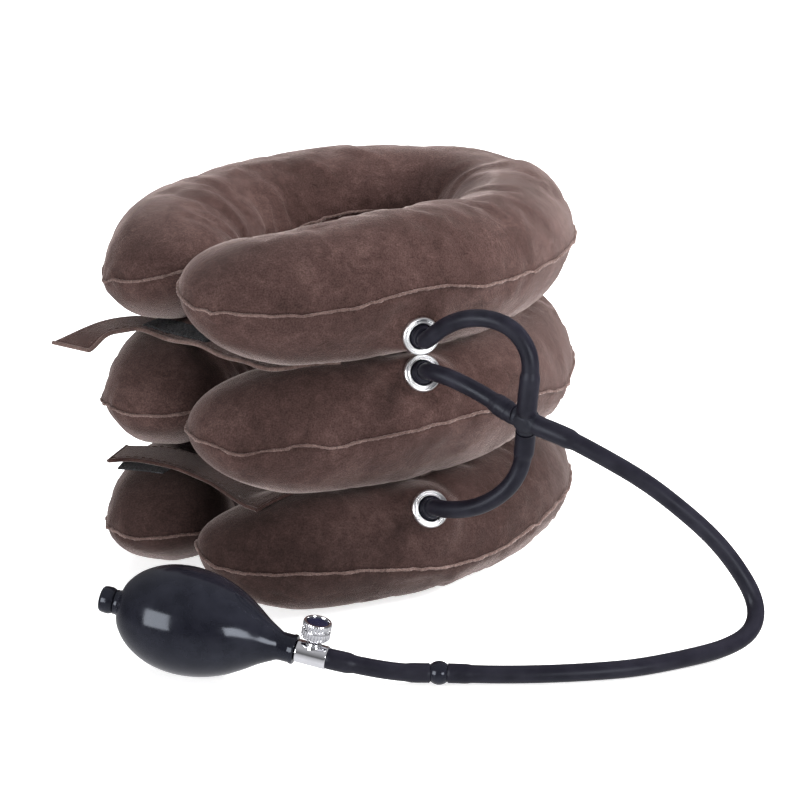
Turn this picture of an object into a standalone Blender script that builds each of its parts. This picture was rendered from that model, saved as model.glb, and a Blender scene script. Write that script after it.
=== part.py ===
"""Inflatable neck traction collar: three stacked C-shaped air rings in fabric covers, joined by
rubber tubes and a cross fitting to a hose with a hand bulb and a screw release valve.

Units are metres and +Z is up. The collar stands on the plane z = 0. The origin is under the middle
of the box around the collar, bulb and valve, and +Y runs from the bulb towards the back of the neck.
"""

import math

import bmesh
import bpy
from mathutils import Matrix, Vector

# The whole object is laid out about the collar's centre, then moved by this to the part's origin.
ORIGIN_SHIFT = Vector((0.01162, 0.03453, 0.0))

# Plan of the C: an ellipse whose long axis is turned, open at the front left.
PLAN_CENTRE = Vector((0.0, 0.013))
PLAN_LONG = 0.109
PLAN_SHORT = 0.070
PLAN_TURN = math.radians(55)
LOBE_END = math.radians(142)
ARM_END = math.radians(-162)

# Section of one inflated ring.
TUBE_HALF_WIDTH = 0.0335
TUBE_RISE = 0.0308
SECTION_POINTS = 12
BODY_SECTIONS = 18
CAP_ANGLES = (32, 60, 80)
FLOOR_SAG = 0.030

# The air rings: height of the seam, rise above it and drop below it.
RINGS = {
    "bottom": {"seam": 0.0260, "rise": 0.0303, "drop": 0.0260},
    "middle": {"seam": 0.0893, "rise": 0.0303, "drop": 0.0302},
    "top": {"seam": 0.1527, "rise": 0.0330, "drop": 0.0302},
}
COVER_WALL = 0.0015
SKIN_GAP = 0.0005
BLADDER_WALL = 0.0008

# The ports: place of each eyelet's front face and the way it looks.
PORTS = {
    "bottom": {"at": (0.0445, -0.0820, 0.0479), "tilt": 20},
    "middle": {"at": (0.0407, -0.0800, 0.1153), "tilt": 20},
    "top": {"at": (0.0400, -0.0900, 0.1361), "tilt": 0},
}
PORT_TURN = math.radians(20)
EYELET_RADIUS = 0.0090
EYELET_BORE = 0.0062
PORT_REACH = 0.0050
COVER_HOLE = 0.0094
BLADDER_HOLE = 0.0088
PULL_RADIUS = 0.024

# Rubber tube, the cross fitting and its two arms, at right angles.
TUBE_RADIUS = 0.0042
CROSS_AT = Vector((0.0895, -0.1180, 0.1025))
CROSS_UP = Vector((0.02, -0.42, 0.907)).normalized()
CROSS_OUT = Vector((0.80, -0.51, -0.2538)).normalized()
CROSS_REACH = 0.0100
CROSS_RADIUS = 0.0046
JOINT_GAP = 0.0003
END_STRAIGHT = 0.003

# Hand bulb and release valve, along one axis from the tail to the hose.
BULB_TAIL = Vector((-0.1060, -0.1780, 0.0334))
BULB_AXIS = Vector((0.957, -0.214, -0.195)).normalized()
BULB_WALL = 0.0020
VALVE_AT = 0.0999
VALVE_ROLL = math.radians(5)
HOSE_START = 0.1076
BALL_RADIUS = 0.0053
BALL_REACH = 0.0060

TEXTILE = 0.0010
REST_GAP = 0.0003
DRAPE_GAP = 0.0011
CREASE_GAP = 0.0028

# Routes that the tubes follow, about the collar's centre, as points picked along each curve.
TOP_ROUTE = [
    (0.0500, -0.1030, 0.1435), (0.0580, -0.1100, 0.1490), (0.0665, -0.1150, 0.1515),
    (0.0755, -0.1190, 0.1510), (0.0835, -0.1215, 0.1470), (0.0890, -0.1230, 0.1395),
    (0.0912, -0.1235, 0.1305),
]
MIDDLE_ROUTE = [
    (0.0470, -0.0925, 0.1185), (0.0540, -0.0975, 0.1175), (0.0615, -0.1015, 0.1148),
    (0.0700, -0.1060, 0.1112),
]
BOTTOM_ROUTE = [
    (0.0520, -0.0935, 0.0510), (0.0590, -0.0985, 0.0525), (0.0665, -0.1030, 0.0552),
    (0.0740, -0.1065, 0.0597), (0.0810, -0.1090, 0.0660), (0.0860, -0.1105, 0.0740),
    (0.0882, -0.1115, 0.0815),
]
HOSE_ROUTE = [
    (0.1075, -0.1280, 0.0972), (0.1240, -0.1330, 0.0895), (0.1470, -0.1375, 0.0765),
    (0.1710, -0.1390, 0.0570), (0.1830, -0.1385, 0.0440), (0.1910, -0.1380, 0.0325),
    (0.1965, -0.1390, 0.0230), (0.1985, -0.1425, 0.0160), (0.1970, -0.1485, 0.0110),
    (0.1915, -0.1570, 0.0075), (0.1820, -0.1650, 0.0055), (0.1695, -0.1735, 0.0046),
    (0.1410, -0.1903, 0.0045), (0.1180, -0.1968, 0.0045), (0.0943, -0.2002, 0.0045),
    (0.0700, -0.2016, 0.0048),
]
COUPLING_AT = Vector((0.0479, -0.2016, 0.0056))
BULB_HOSE_ROUTE = [(0.0330, -0.2012, 0.0054), (0.0170, -0.2012, 0.0078)]


# ---------------------------------------------------------------- scene and small helpers


def clear_scene():
    for found in list(bpy.data.objects):
        bpy.data.objects.remove(found, do_unlink=True)


def material(name, color, roughness, metallic=0.0):
    made = bpy.data.materials.new(name)
    made.use_nodes = True
    shader = made.node_tree.nodes["Principled BSDF"]
    shader.inputs["Base Color"].default_value = (*color, 1.0)
    shader.inputs["Roughness"].default_value = roughness
    shader.inputs["Metallic"].default_value = metallic
    return made


def add_mesh(name, mesh, look, place=None):
    """Makes an object from a bmesh, at `place` about the collar's centre."""
    bmesh.ops.recalc_face_normals(mesh, faces=mesh.faces)
    data = bpy.data.meshes.new(name)
    mesh.to_mesh(data)
    mesh.free()
    data.materials.append(look)
    data.shade_smooth()
    data.set_sharp_from_angle(angle=math.radians(40))
    made = bpy.data.objects.new(name, data)
    made.matrix_world = Matrix.Translation(ORIGIN_SHIFT) @ (place or Matrix())
    bpy.context.scene.collection.objects.link(made)
    return made


def frame_on(origin, axis, towards=Vector((0, 0, 1))):
    """A frame at `origin` whose Z runs along `axis` and whose X leans to `towards`."""
    side = (towards - towards.dot(axis) * axis).normalized()
    turned_side = axis.cross(side)
    rows = Matrix((side, turned_side, axis)).transposed().to_4x4()
    return Matrix.Translation(origin) @ rows


def turned(name, profile, look, place, steps=24, ring=True, knurl=None):
    """Spins a profile of (radius, height) round Z. A ring's profile closes on itself."""
    mesh = bmesh.new()
    points = [mesh.verts.new((radius, 0.0, height)) for radius, height in profile]
    pairs = list(zip(points, points[1:]))
    if ring:
        pairs.append((points[-1], points[0]))
    edges = [mesh.edges.new(pair) for pair in pairs]
    bmesh.ops.spin(
        mesh, geom=points + edges, cent=(0, 0, 0), axis=(0, 0, 1),
        angle=math.tau, steps=steps, use_merge=True,
    )
    bmesh.ops.remove_doubles(mesh, verts=mesh.verts, dist=1e-6)
    if knurl:
        cut_knurl(mesh, steps, *knurl)
    return add_mesh(name, mesh, look, place)


def cut_knurl(mesh, steps, least_radius, depth):
    """Pulls in every second column of points on the outer side, which leaves upright ribs."""
    for point in mesh.verts:
        radius = math.hypot(point.co.x, point.co.y)
        column = round(math.atan2(point.co.y, point.co.x) / math.tau * steps)
        if radius > least_radius and column % 2:
            point.co.x *= 1 - depth / radius
            point.co.y *= 1 - depth / radius


def hide_cutter(cutter):
    cutter.hide_render = True
    cutter.display_type = "WIRE"


def cut(target, cutter):
    hide_cutter(cutter)
    step = target.modifiers.new("Cut", "BOOLEAN")
    step.operation = "DIFFERENCE"
    step.solver = "EXACT"
    step.object = cutter


def rod(name, radius, start, end, place, look, steps=24):
    """A plain cylinder along the Z of `place`."""
    return turned(name, [(0, start), (radius, start), (radius, end), (0, end)], look, place,
                  steps=steps, ring=False)


# ---------------------------------------------------------------- plan of the collar


def plan_point(angle):
    """A point of the ring's centreline, and the unit vector outwards there."""
    long_way = Vector((math.cos(PLAN_TURN), math.sin(PLAN_TURN)))
    short_way = Vector((-long_way.y, long_way.x))
    at = PLAN_CENTRE + PLAN_LONG * math.cos(angle) * long_way
    at += PLAN_SHORT * math.sin(angle) * short_way
    out = math.cos(angle) / PLAN_LONG * long_way + math.sin(angle) / PLAN_SHORT * short_way
    return at, out.normalized()


def body_angles():
    step = (ARM_END - LOBE_END) / (BODY_SECTIONS - 1)
    return [LOBE_END + step * index for index in range(BODY_SECTIONS)]


def sections():
    """Each section as (centre, outward vector, share of the width, share of the height)."""
    found = [(*plan_point(angle), 1.0, 1.0) for angle in body_angles()]
    ends = []
    for angle, inward in ((LOBE_END, -1), (ARM_END, 1)):
        at, out = plan_point(angle)
        along = inward * Vector((out.y, -out.x))
        cap = []
        for turn in map(math.radians, CAP_ANGLES):
            centre = at + along * TUBE_HALF_WIDTH * math.sin(turn)
            cap.append((centre, out, math.cos(turn), math.cos(turn)))
        ends.append((cap, at + along * TUBE_HALF_WIDTH))
    first, last = ends
    return first[0][::-1] + found + last[0], first[1], last[1]


def distance_from_centreline(at):
    """How far a plan point lies from the middle of the tube."""
    steps = 160
    angles = (LOBE_END + (ARM_END - LOBE_END) * index / steps for index in range(steps + 1))
    return min((plan_point(angle)[0] - at).length for angle in angles)


def crown_height(ring, at, lowest):
    """Height of a ring's upper face over a plan point, but never under `lowest`."""
    share = min(distance_from_centreline(at) / TUBE_HALF_WIDTH, 1.0)
    return max(ring["seam"] + ring["rise"] * math.sqrt(1 - share * share), lowest)


# ---------------------------------------------------------------- air rings


def port_axis(port):
    tilt = math.radians(port["tilt"])
    flat = Vector((math.sin(PORT_TURN), -math.cos(PORT_TURN), 0)) * math.cos(tilt)
    return flat + Vector((0, 0, math.sin(tilt)))


def port_frame(port):
    return frame_on(Vector(port["at"]), port_axis(port))


def pulled_to_port(at, port):
    """Draws fabric near a port into the plane behind its eyelet."""
    axis = port_axis(port)
    reach = at - Vector(port["at"])
    if reach.length > PULL_RADIUS:
        return at
    share = 1 - (reach.length / PULL_RADIUS) ** 2
    return at - reach.dot(axis) * share * axis


def ring_points(ring, port):
    rows = []
    middle, lobe_tip, arm_tip = sections()
    for centre, out, width, height in middle:
        row = []
        for index in range(SECTION_POINTS):
            turn = math.tau * index / SECTION_POINTS
            aside = centre + out * TUBE_HALF_WIDTH * width * math.cos(turn)
            rise = ring["rise"] if math.sin(turn) > 0 else max(ring["drop"], FLOOR_SAG)
            up = rise * height * math.sin(turn)
            up = max(up, -ring["drop"])
            point = Vector((aside.x, aside.y, ring["seam"] + up))
            row.append(pulled_to_port(point, port))
        rows.append(row)
    tips = [Vector((tip.x, tip.y, ring["seam"])) for tip in (lobe_tip, arm_tip)]
    return rows, tips


def skin(rows, tips):
    """A closed surface through the rows of section points and the two end points."""
    mesh = bmesh.new()
    grid = [[mesh.verts.new(point) for point in row] for row in rows]
    count = len(grid[0])
    for row, following in zip(grid, grid[1:]):
        for index in range(count):
            after = (index + 1) % count
            mesh.faces.new((row[index], row[after], following[after], following[index]))
    for row, tip in zip((grid[0], grid[-1]), map(mesh.verts.new, tips)):
        for index in range(count):
            mesh.faces.new((row[index], row[(index + 1) % count], tip))
    bmesh.ops.recalc_face_normals(mesh, faces=mesh.faces)
    mesh.normal_update()
    return mesh


def shrunk(mesh, depth):
    """A copy of a surface moved inwards by `depth`."""
    inner = mesh.copy()
    inner.normal_update()
    moves = [(point, point.normal * depth) for point in inner.verts]
    for point, move in moves:
        point.co -= move
    return inner


def hollow(name, surface, outside, inside, look):
    """The shell between two depths under a surface."""
    outer = shrunk(surface, outside)
    inner = shrunk(surface, inside)
    bmesh.ops.reverse_faces(inner, faces=inner.faces)
    holder = bpy.data.meshes.new(name)
    inner.to_mesh(holder)
    inner.free()
    outer.from_mesh(holder)
    bpy.data.meshes.remove(holder)
    data = bpy.data.meshes.new(name)
    outer.to_mesh(data)
    outer.free()
    data.materials.append(look)
    made = bpy.data.objects.new(name, data)
    made.location = ORIGIN_SHIFT
    bpy.context.scene.collection.objects.link(made)
    return made


def make_ring(key, looks):
    ring = RINGS[key]
    port = PORTS[key]
    surface = skin(*ring_points(ring, port))
    cover = hollow(f"cover_{key}", surface, 0, COVER_WALL, looks["velvet"])
    cut(cover, rod(f"cover_hole_{key}", COVER_HOLE, -0.012, 0.014, port_frame(port),
                   looks["velvet"]))
    start = COVER_WALL + SKIN_GAP
    bladder = hollow(f"bladder_{key}", surface, start, start + BLADDER_WALL, looks["bladder"])
    cut(bladder, rod(f"bladder_hole_{key}", BLADDER_HOLE + 0.0008, -0.014, 0.014,
                     port_frame(port), looks["velvet"]))
    surface.free()


def make_port(key, looks):
    place = port_frame(PORTS[key])
    bore = EYELET_BORE
    edge = EYELET_RADIUS
    eyelet = [
        (bore, -0.0012), (edge - 0.0002, -0.0012), (edge, -0.0004), (edge - 0.0005, 0.0007),
        (edge - 0.0011, 0.0011), (edge - 0.0015, 0.0006), (bore + 0.0008, 0.0010), (bore, 0.0002),
    ]
    turned(f"eyelet_{key}", eyelet, looks["chrome"], place)
    washer = [(bore + 0.0002, -0.0026), (edge, -0.0026), (edge, -0.0016), (bore + 0.0002, -0.0016)]
    turned(f"eyelet_washer_{key}", washer, looks["steel"], place, steps=20)
    nipple = [
        (0.0022, -0.0090), (0.0046, -0.0090), (0.0046, -0.0048), (BLADDER_HOLE - 0.0003, -0.0048),
        (BLADDER_HOLE - 0.0003, -0.0030), (0.0058, -0.0030), (0.0058, 0.0008), (0.0053, 0.0014),
        (0.0053, 0.0022), (0.0048, 0.0028), (0.0048, PORT_REACH), (0.0022, PORT_REACH),
    ]
    turned(f"port_{key}", nipple, looks["rubber"], place, steps=20)


def make_joining_band(name, height, looks):
    """The cloth strip that joins two rings round the crease."""
    mesh = bmesh.new()
    half = 0.008
    angles = [angle for angle in body_angles() if -2.2 < angle < 2.1]
    rows = []
    for angle in angles:
        at, out = plan_point(angle)
        row = []
        for side, up in ((-1, -1), (1, -1), (1, 1), (-1, 1)):
            spot = at + out * half * side
            row.append(mesh.verts.new((spot.x, spot.y, height + up * TEXTILE / 2)))
        rows.append(row)
    for row, following in zip(rows, rows[1:]):
        for index in range(4):
            after = (index + 1) % 4
            mesh.faces.new((row[index], row[after], following[after], following[index]))
    mesh.faces.new(rows[0])
    mesh.faces.new(rows[-1])
    add_mesh(name, mesh, looks["cloth"])


# ---------------------------------------------------------------- straps


def plate(name, grid, thickness, look):
    """A flat flexible piece: `grid` holds rows of points on its middle surface."""
    mesh = bmesh.new()
    half = Vector((0, 0, thickness / 2))
    top = [[mesh.verts.new(point + half) for point in row] for row in grid]
    low = [[mesh.verts.new(point - half) for point in row] for row in grid]
    for row, following, low_row, low_following in zip(top, top[1:], low, low[1:]):
        for index in range(len(row) - 1):
            mesh.faces.new((row[index], row[index + 1], following[index + 1], following[index]))
            mesh.faces.new((low_row[index], low_row[index + 1], low_following[index + 1],
                            low_following[index]))
    rims = [([row[0] for row in top], [row[0] for row in low])]
    rims.append(([row[-1] for row in top], [row[-1] for row in low]))
    rims.append((top[0], low[0]))
    rims.append((top[-1], low[-1]))
    for upper, lower in rims:
        for index in range(len(upper) - 1):
            mesh.faces.new((upper[index], upper[index + 1], lower[index + 1], lower[index]))
    return add_mesh(name, mesh, look)


def between(first, second, share):
    return first + (second - first) * share


def with_midpoints(edge):
    points = [Vector(point) for point in edge]
    halves = [between(first, second, 0.5) for first, second in zip(points, points[1:])]
    return [point for pair in zip(points, halves) for point in pair] + points[-1:]


def draped(ring, front, back, lowest, lift, across=6):
    """Rows of points over a ring between a front edge and a back edge in plan."""
    rows = []
    for near, far in zip(with_midpoints(front), with_midpoints(back)):
        row = []
        for index in range(across + 1):
            at = between(near, far, index / across)
            row.append(Vector((at.x, at.y, crown_height(ring, at, lowest) + lift)))
        rows.append(row)
    return rows


UPPER_FRONT = [
    (-0.001, -0.0955), (-0.018, -0.0965), (-0.034, -0.0945), (-0.0515, -0.0770),
    (-0.0688, -0.0550), (-0.0846, -0.0395), (-0.0975, -0.0260),
]
UPPER_BACK = [
    (-0.001, -0.0870), (-0.014, -0.0860), (-0.026, -0.0780), (-0.036, -0.0600),
    (-0.0510, -0.0370), (-0.0690, -0.0190), (-0.0860, -0.0030),
]
LOWER_FRONT = [
    (-0.020, -0.0960), (-0.036, -0.0960), (-0.0530, -0.0760), (-0.0660, -0.0640),
    (-0.0800, -0.0500), (-0.0960, -0.0440),
]
LOWER_BACK = [
    (-0.012, -0.0860), (-0.026, -0.0780), (-0.036, -0.0600), (-0.0500, -0.0400),
    (-0.0680, -0.0220), (-0.0840, -0.0120),
]
UPPER_TIP = [
    [(-0.0980, -0.0255, 0.1195), (-0.0865, -0.0025, 0.1215)],
    [(-0.1075, -0.0245, 0.1215), (-0.1010, 0.0010, 0.1225)],
    [(-0.1160, -0.0255, 0.1175), (-0.1190, -0.0010, 0.1195)],
    [(-0.1225, -0.0290, 0.1130), (-0.1410, -0.0090, 0.1120)],
]
LOWER_TIP_FRONT = [(-0.0968, -0.0436), (-0.1050, -0.0400), (-0.1125, -0.0370)]
LOWER_TIP_BACK = [(-0.0850, -0.0117), (-0.0960, -0.0110), (-0.1075, -0.0120)]


def tip_rows(edges, across=3):
    rows = []
    for near, far in edges:
        row = [between(Vector(near), Vector(far), index / across) for index in range(across + 1)]
        rows.append(row)
    return rows


def make_straps(looks):
    lift = DRAPE_GAP + TEXTILE / 2
    middle = RINGS["middle"]
    bottom = RINGS["bottom"]
    bridge = middle["seam"] + 0.0255
    plate("strap_upper", draped(middle, UPPER_FRONT, UPPER_BACK, bridge, lift), TEXTILE,
          looks["velvet"])
    patch_lift = lift + TEXTILE + 2.5 * REST_GAP
    plate("hook_patch_upper",
          draped(middle, [(-0.058, -0.0660), (-0.0710, -0.0525), (-0.0850, -0.0385)],
                 [(-0.055, -0.0600), (-0.0660, -0.0470), (-0.0795, -0.0330)], bridge,
                 patch_lift, across=2), TEXTILE, looks["hook"])
    plate("strap_upper_tip", tip_rows(UPPER_TIP), TEXTILE, looks["velvet"])
    low_bridge = bottom["seam"] + 0.0200
    plate("strap_lower", draped(bottom, LOWER_FRONT, LOWER_BACK, low_bridge, lift), TEXTILE,
          looks["velvet"])
    low_tip = draped(bottom, LOWER_TIP_FRONT, LOWER_TIP_BACK, bottom["seam"] + 0.0240, lift)
    plate("strap_lower_tip", low_tip, TEXTILE, looks["velvet"])


# ---------------------------------------------------------------- tubes


def smooth_route(route, spacing):
    """Points at even distances along a smooth curve through a route."""
    points = [Vector(point) for point in route]
    before = [2 * points[0] - points[1], *points]
    after = [*points, 2 * points[-1] - points[-2]]
    fine = []
    for index in range(len(points) - 1):
        p0, p1, p2, p3 = before[index], points[index], points[index + 1], after[index + 2]
        for step in range(24):
            t = step / 24
            fine.append(0.5 * (2 * p1 + (p2 - p0) * t + (2 * p0 - 5 * p1 + 4 * p2 - p3) * t**2
                               + (3 * p1 - p0 - 3 * p2 + p3) * t**3))
    fine.append(points[-1])
    lengths = [0.0]
    for first, second in zip(fine, fine[1:]):
        lengths.append(lengths[-1] + (second - first).length)
    count = max(3, round(lengths[-1] / spacing))
    found = []
    for index in range(count + 1):
        wanted = lengths[-1] * index / count
        spot = max(place for place, length in enumerate(lengths) if length <= wanted + 1e-9)
        spot = min(spot, len(fine) - 2)
        share = (wanted - lengths[spot]) / (lengths[spot + 1] - lengths[spot])
        found.append(between(fine[spot], fine[spot + 1], share))
    return found


def tube(name, route, look):
    """A tube whose first and last stretch are straight, square to the faces that it meets."""
    curve = bpy.data.curves.new(name, "CURVE")
    curve.dimensions = "3D"
    curve.bevel_depth = TUBE_RADIUS
    curve.bevel_resolution = 2
    curve.use_fill_caps = True
    first, *rest, last = route
    points = [first, *smooth_route(rest, 2.5 * 2 * TUBE_RADIUS), last]
    spline = curve.splines.new("POLY")
    spline.points.add(len(points) - 1)
    for target, point in zip(spline.points, points):
        target.co = (*point, 1.0)
    curve.materials.append(look)
    made = bpy.data.objects.new(name, curve)
    made.location = ORIGIN_SHIFT
    bpy.context.scene.collection.objects.link(made)
    return made


def arm_end(way):
    """Where a tube meets an arm of the cross, and a second point straight out from it."""
    meet = CROSS_AT + way * (CROSS_REACH + JOINT_GAP)
    return [meet, meet + way * END_STRAIGHT]


def port_exit(key):
    place = Vector(PORTS[key]["at"])
    axis = port_axis(PORTS[key])
    start = PORT_REACH + JOINT_GAP
    return [place + axis * start, place + axis * (start + END_STRAIGHT)]


def make_tubes(looks):
    rubber = looks["rubber"]
    tube("branch_tube_top", port_exit("top") + TOP_ROUTE + arm_end(CROSS_UP)[::-1], rubber)
    tube("branch_tube_middle", port_exit("middle") + MIDDLE_ROUTE + arm_end(-CROSS_OUT)[::-1],
         rubber)
    tube("branch_tube_bottom", port_exit("bottom") + BOTTOM_ROUTE + arm_end(-CROSS_UP)[::-1],
         rubber)
    coupling_ends = [Vector((BALL_REACH + JOINT_GAP + run, 0, 0)) for run in (0, END_STRAIGHT)]
    main_end = [COUPLING_AT + end for end in coupling_ends[::-1]]
    tube("main_hose", arm_end(CROSS_OUT) + HOSE_ROUTE + main_end, rubber)
    bulb_start = [COUPLING_AT - end for end in coupling_ends]
    valve_end = [BULB_TAIL + BULB_AXIS * (HOSE_START + run) for run in (END_STRAIGHT, 0)]
    tube("bulb_hose", bulb_start + BULB_HOSE_ROUTE + valve_end, rubber)


def make_cross(looks):
    arm = rod("cross_fitting", CROSS_RADIUS, -CROSS_REACH, CROSS_REACH,
              frame_on(CROSS_AT, CROSS_UP, Vector((1, 0, 0))), looks["fitting"], steps=16)
    other = rod("cross_second_arm", CROSS_RADIUS, -CROSS_REACH, CROSS_REACH,
                frame_on(CROSS_AT, CROSS_OUT), looks["fitting"], steps=16)
    hide_cutter(other)
    join = arm.modifiers.new("Join", "BOOLEAN")
    join.operation = "UNION"
    join.solver = "EXACT"
    join.object = other


def make_coupling(looks):
    ball = BALL_RADIUS
    reach = BALL_REACH
    profile = [
        (0, -reach), (0.0040, -reach), (0.0044, -0.0034), (ball - 0.0003, -0.0016), (ball, 0),
        (ball - 0.0003, 0.0016), (0.0044, 0.0034), (0.0040, reach), (0, reach),
    ]
    turned("inline_coupling", profile, looks["fitting"], frame_on(COUPLING_AT, Vector((1, 0, 0))),
           steps=16, ring=False)


# ---------------------------------------------------------------- bulb


BULB_PROFILE = [
    (0.0058, 0.0048), (0.0062, 0.0068), (0.0110, 0.0088), (0.0162, 0.0130), (0.0205, 0.0190),
    (0.0236, 0.0265), (0.0251, 0.0350), (0.0251, 0.0430), (0.0236, 0.0520), (0.0203, 0.0615),
    (0.0155, 0.0700), (0.0108, 0.0770), (0.0078, 0.0825), (0.0067, 0.0850), (0.0067, 0.0920),
]


def bulb_frame():
    return frame_on(BULB_TAIL, BULB_AXIS)


def make_bulb(looks):
    """A thick-walled rubber shell, open at the tail and at the neck."""
    inner = [(radius - BULB_WALL, height) for radius, height in BULB_PROFILE]
    inner[1] = (inner[0][0], inner[1][1] + BULB_WALL)
    inner[2] = (inner[2][0], inner[2][1] + BULB_WALL)
    turned("bulb", BULB_PROFILE + inner[::-1], looks["gloss_rubber"], bulb_frame(), steps=20)


def make_inlet_valve(looks):
    """The tail plug, whose chamber holds a loose disc that lets air in and not out."""
    bore = 0.0012
    chamber = 0.0028
    stem = BULB_PROFILE[0][0] - BULB_WALL - REST_GAP
    plug = [
        (bore, -0.0026), (0.0050, -0.0026), (0.0060, -0.0016), (0.0062, 0.0030), (0.0056, 0.0042),
        (stem, 0.0044), (stem, 0.0120), (0.0016, 0.0120), (0.0016, 0.0112), (chamber, 0.0112),
        (chamber, 0.0082), (bore, 0.0082),
    ]
    turned("inlet_valve_plug", plug, looks["gloss_rubber"], bulb_frame(), steps=20)
    rod("inlet_valve_disc", 0.0024, 0.0085, 0.0095, bulb_frame(), looks["fitting"], steps=12)


# ---------------------------------------------------------------- release valve


def valve_axis():
    upright = Vector((0, 0, 1))
    up = (upright - upright.dot(BULB_AXIS) * BULB_AXIS).normalized()
    return up * math.cos(VALVE_ROLL) + BULB_AXIS.cross(up) * math.sin(VALVE_ROLL)


def valve_frame():
    centre = BULB_TAIL + BULB_AXIS * VALVE_AT
    return frame_on(centre, valve_axis(), BULB_AXIS)


def make_valve_body(looks):
    spigot = BULB_PROFILE[-1][0] - BULB_WALL - REST_GAP
    neck_end = BULB_PROFILE[-1][1] + REST_GAP
    barrel = 0.0053
    chamber = 0.0030
    profile = [
        (0.0014, 0.0830), (spigot, 0.0830), (spigot, neck_end), (barrel, neck_end),
        (barrel, HOSE_START - JOINT_GAP), (0.0018, HOSE_START - JOINT_GAP), (0.0018, 0.0900),
        (chamber, 0.0900), (chamber, 0.0850), (0.0014, 0.0850),
    ]
    body = turned("valve_body", profile, looks["chrome"], bulb_frame())
    boss = rod("valve_boss", 0.0034, 0.0030, 0.0062, valve_frame(), looks["chrome"], steps=20)
    hide_cutter(boss)
    join = body.modifiers.new("Boss", "BOOLEAN")
    join.operation = "UNION"
    join.solver = "EXACT"
    join.object = boss
    cut(body, rod("needle_bore", 0.0016, -0.0005, 0.0100, valve_frame(), looks["chrome"],
                  steps=16))
    rod("outlet_valve_disc", 0.0025, 0.0853, 0.0863, bulb_frame(), looks["fitting"], steps=12)


def make_knob(looks):
    """The knurled knob, its dark insert and the needle that it screws down."""
    place = valve_frame()
    top = 0.0170
    knob = [
        (0.0009, 0.0066), (0.0024, 0.0066), (0.0030, 0.0078), (0.0060, 0.0086), (0.0067, 0.0093),
        (0.0067, 0.0124), (0.0062, 0.0128), (0.0062, 0.0134), (0.0067, 0.0138), (0.0067, 0.0164),
        (0.0063, top), (0.0053, top), (0.0053, 0.0156), (0.0009, 0.0156),
    ]
    turned("release_knob", knob, looks["chrome"], place, steps=40, knurl=(0.0061, 0.00035))
    insert = [(0, 0.0159), (0.0050, 0.0159), (0.0050, 0.0164), (0, 0.0166)]
    turned("knob_insert", insert, looks["fitting"], place, steps=20, ring=False)
    needle = [(0, 0.0020), (0.0012, 0.0036), (0.0012, 0.0052), (0.0006, 0.0058),
              (0.0006, 0.0153), (0, 0.0153)]
    turned("release_needle", needle, looks["steel"], place, steps=12, ring=False)


def main():
    clear_scene()
    looks = {
        "velvet": material("velvet", (0.115, 0.072, 0.060), 0.95),
        "cloth": material("cloth", (0.080, 0.050, 0.042), 0.95),
        "bladder": material("bladder", (0.110, 0.110, 0.115), 0.45),
        "rubber": material("rubber", (0.012, 0.013, 0.016), 0.45),
        "gloss_rubber": material("gloss_rubber", (0.008, 0.010, 0.014), 0.15),
        "fitting": material("fitting", (0.030, 0.032, 0.036), 0.50),
        "chrome": material("chrome", (0.80, 0.80, 0.82), 0.08, 1.0),
        "steel": material("steel", (0.55, 0.55, 0.56), 0.30, 1.0),
        "hook": material("hook", (0.020, 0.020, 0.022), 0.90),
    }
    for key in RINGS:
        make_ring(key, looks)
        make_port(key, looks)
    for name, below in (("joining_band_lower", "bottom"), ("joining_band_upper", "middle")):
        crest = RINGS[below]["seam"] + RINGS[below]["rise"]
        make_joining_band(name, crest + CREASE_GAP / 2, looks)
    make_straps(looks)
    make_cross(looks)
    make_coupling(looks)
    make_tubes(looks)
    make_bulb(looks)
    make_inlet_valve(looks)
    make_valve_body(looks)
    make_knob(looks)


main()
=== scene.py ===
"""Looks of the inflatable neck traction collar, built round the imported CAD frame.

Lengths are in metres, apart from the tables given to mm(), which are in millimetres. Places are
about the collar's centre, as in the CAD part, and SHIFT moves them to the frame's origin.
"""

import math

import bmesh
import bpy
import numpy as np
from mathutils import Matrix, Vector, noise


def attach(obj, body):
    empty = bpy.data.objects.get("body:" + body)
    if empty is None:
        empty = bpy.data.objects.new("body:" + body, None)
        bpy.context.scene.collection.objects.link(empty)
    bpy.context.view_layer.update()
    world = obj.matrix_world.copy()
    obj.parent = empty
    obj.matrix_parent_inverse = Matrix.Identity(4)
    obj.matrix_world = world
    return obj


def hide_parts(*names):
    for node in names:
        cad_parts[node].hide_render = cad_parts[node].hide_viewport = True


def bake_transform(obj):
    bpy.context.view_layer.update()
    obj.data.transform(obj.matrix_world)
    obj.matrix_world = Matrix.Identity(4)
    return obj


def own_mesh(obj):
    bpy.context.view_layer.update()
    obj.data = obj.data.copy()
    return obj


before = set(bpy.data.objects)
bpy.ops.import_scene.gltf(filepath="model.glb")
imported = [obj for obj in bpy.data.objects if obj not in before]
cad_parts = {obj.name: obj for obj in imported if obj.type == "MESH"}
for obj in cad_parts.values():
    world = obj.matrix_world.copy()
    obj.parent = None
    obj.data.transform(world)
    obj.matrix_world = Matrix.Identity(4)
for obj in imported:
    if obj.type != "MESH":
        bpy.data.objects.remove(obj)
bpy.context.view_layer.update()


def mm(values):
    """Nested tables of millimetres, as metres."""
    if isinstance(values, (list, tuple)):
        return type(values)(mm(value) for value in values)
    return values / 1000


SHIFT = Vector((0.01162, 0.03453, 0.0))

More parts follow.
